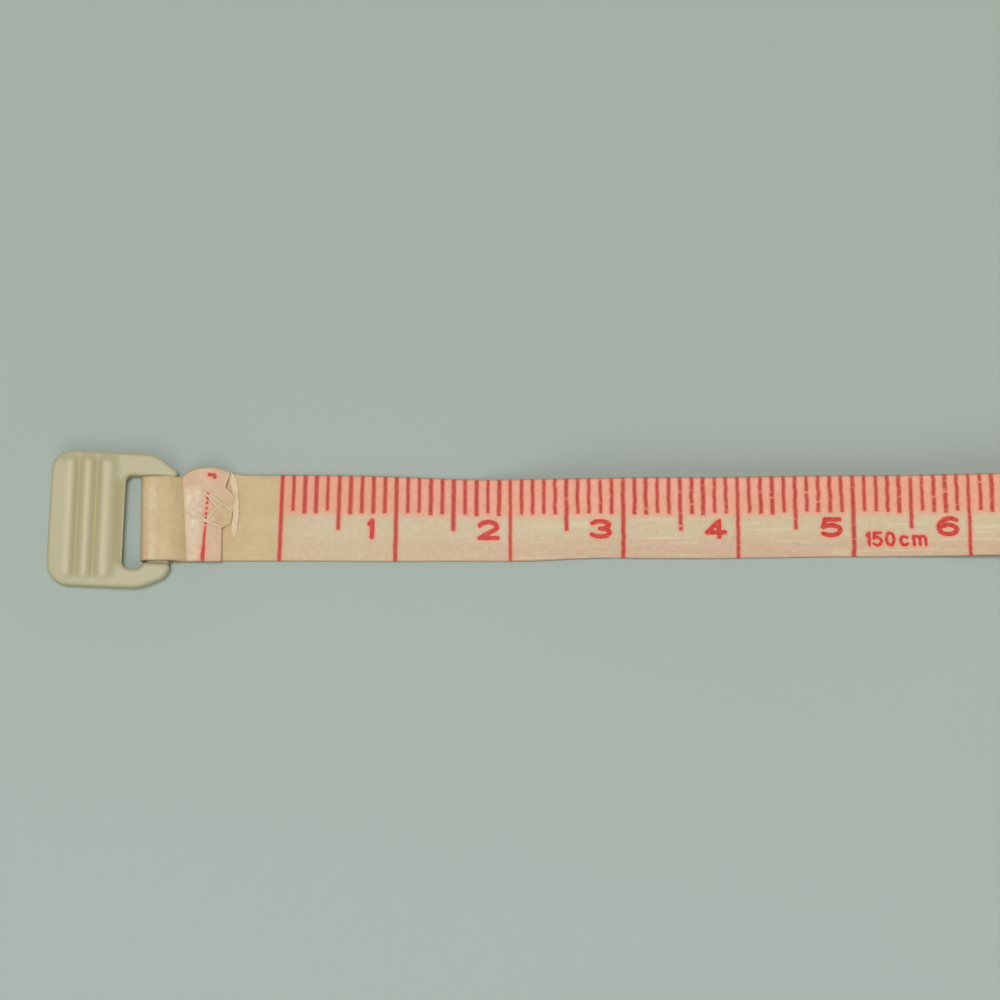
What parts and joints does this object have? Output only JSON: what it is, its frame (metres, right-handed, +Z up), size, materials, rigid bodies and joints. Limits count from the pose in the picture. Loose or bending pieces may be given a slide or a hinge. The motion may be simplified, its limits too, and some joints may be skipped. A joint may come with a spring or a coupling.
{
  "type": "retractable cloth tape measure",
  "caption": "Narrow printed cloth tape on a spring reel in a round standing case, with a push-button brake and a ribbed pull tab sewn into the tape's end.",
  "frame": {"origin": "on the flat foot of the case, under the reel's axle and in the middle plane of the tape", "axes": "+Z up; the tape leaves the mouth along -X; the push button is on the -Y face"},
  "size_m": [0.1514, 0.0188, 0.0529],
  "materials": {
    "case_plastic": "satin moulded ivory plastic",
    "tab_plastic": "satin moulded ivory plastic, ribbed",
    "button_plastic": "glossy red plastic",
    "reel_plastic": "plain white plastic",
    "lever_plastic": "dark grey plastic",
    "brake_rubber": "black rubber",
    "steel": "bright zinc-plated or spring steel",
    "tape_cloth": "tightly woven straw-coloured cloth with red print"
  },
  "bodies": {
    "case": {"front_shell": "case_plastic", "rear_cover": "case_plastic", "case_screw_1": "steel", "case_screw_2": "steel", "case_screw_3": "steel", "arbor": "steel", "arbor_screw": "steel", "thrust_washer": "reel_plastic", "lever_pin": "steel", "brake_spring": "steel"},
    "reel": {"reel_drum": "reel_plastic", "reel_cover": "reel_plastic", "tape_anchor": "reel_plastic", "mainspring": "steel", "wound_tape": "tape_cloth"},
    "button": {"button": "button_plastic"},
    "brake": {"brake_lever": "lever_plastic", "brake_pad": "brake_rubber"},
    "tape_end": {"tape_run": "tape_cloth", "tape_flap": "tape_cloth"},
    "tab": {"tape_loop": "tape_cloth", "pull_tab": "tab_plastic"}
  },
  "joints": [
    {"name": "reel_spin", "type": "hinge", "parent": "case", "child": "reel", "pos_m": [0, 0, 0.02649], "axis": [0, 1, 0], "range_deg": [-304.69, 5141.6]},
    {"name": "tape_pull", "type": "slide", "parent": "case", "child": "tape_end", "axis": [-1, 0, 0], "range_m": [-0.0801, 1.3501], "deforming": ["tape_run"]},
    {"name": "tab_flex", "type": "hinge", "parent": "tape_end", "child": "tab", "pos_m": [-0.1131, 0, 0.0004], "axis": [0, 1, 0], "range_deg": [-90, 90]},
    {"name": "button_press", "type": "slide", "parent": "case", "child": "button", "axis": [0, 1, 0], "range_m": [0, 0.001], "stiffness_N_per_m": 600, "springref_m": -0.0005, "deforming": ["brake_spring"]},
    {"name": "brake_release", "type": "hinge", "parent": "case", "child": "brake", "pos_m": [0, -0.00675, 0.03649], "axis": [1, 0, 0], "range_deg": [0, 5.8]}
  ],
  "couplings": [
    {"joint": "tape_pull", "follows": "reel_spin", "m_per_rad": 0.015044},
    {"joint": "brake_release", "follows": "button_press", "rad_per_m": 100}
  ]
}
